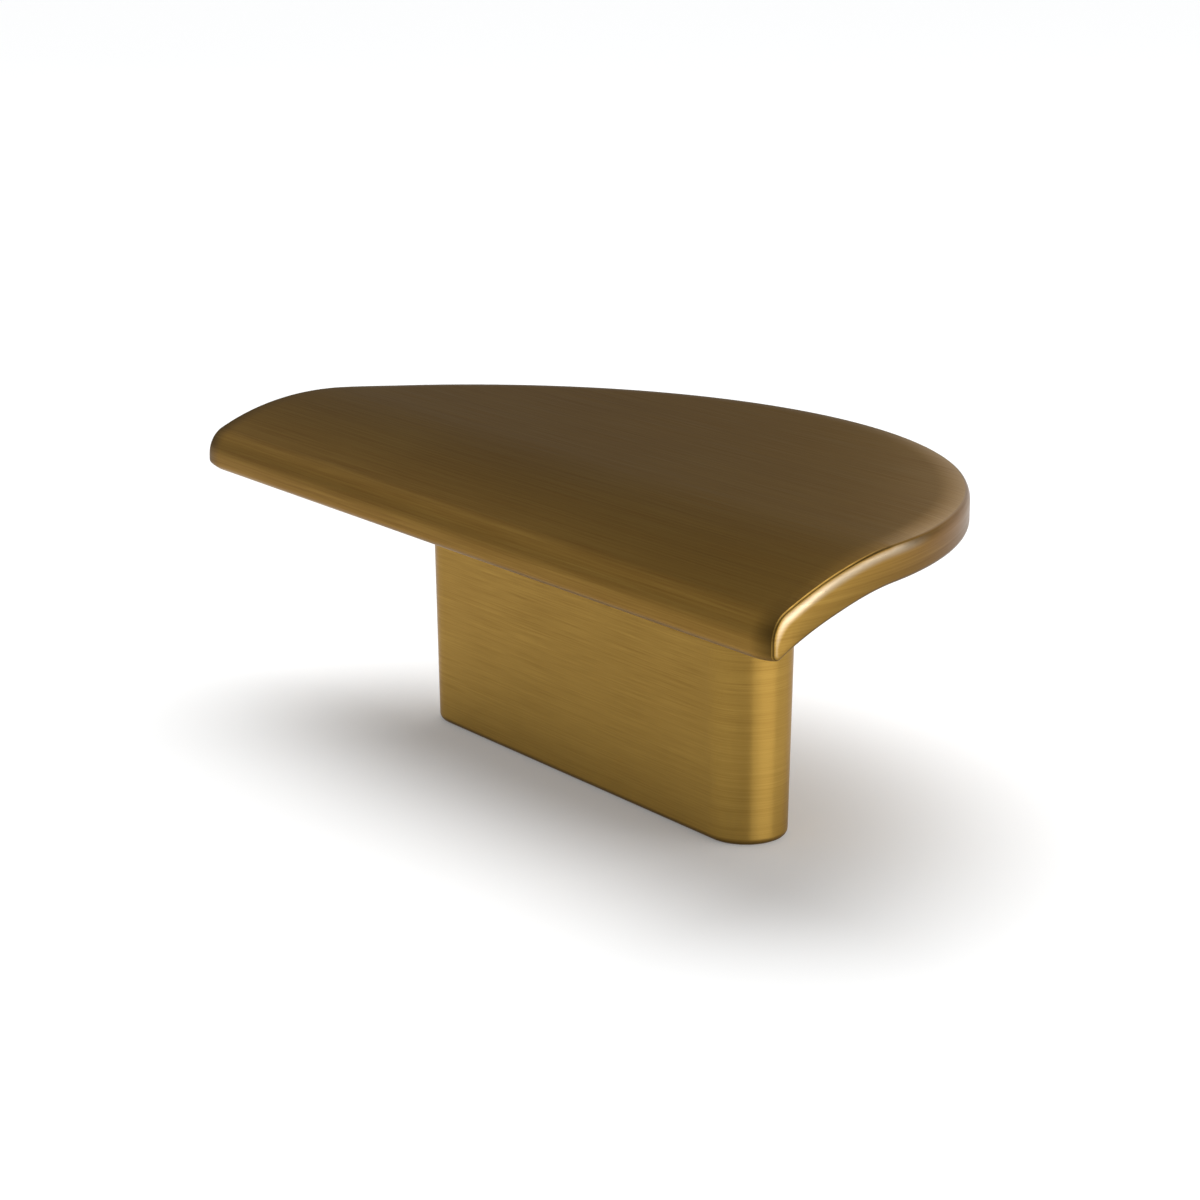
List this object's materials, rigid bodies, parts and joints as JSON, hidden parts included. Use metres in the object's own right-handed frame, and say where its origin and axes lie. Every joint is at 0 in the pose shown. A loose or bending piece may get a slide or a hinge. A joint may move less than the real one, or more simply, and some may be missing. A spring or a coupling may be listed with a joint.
{
  "type": "cabinet pull",
  "caption": "Half-moon cabinet pull in brushed antique brass: a thin plate with a curved-down straight lip on a slim round-ended post, screwed on from behind the drawer front.",
  "frame": {"origin": "middle of the post's mounting face, where the pull meets the drawer front", "axes": "+Z away from the drawer front, X along the straight lip, -Y towards the lip"},
  "size_m": [0.08, 0.04, 0.0268],
  "materials": {
    "antique_brass": "brushed antique brass, satin lacquer"
  },
  "bodies": {
    "root": {"half_moon_pull": "antique_brass"}
  },
  "joints": []
}
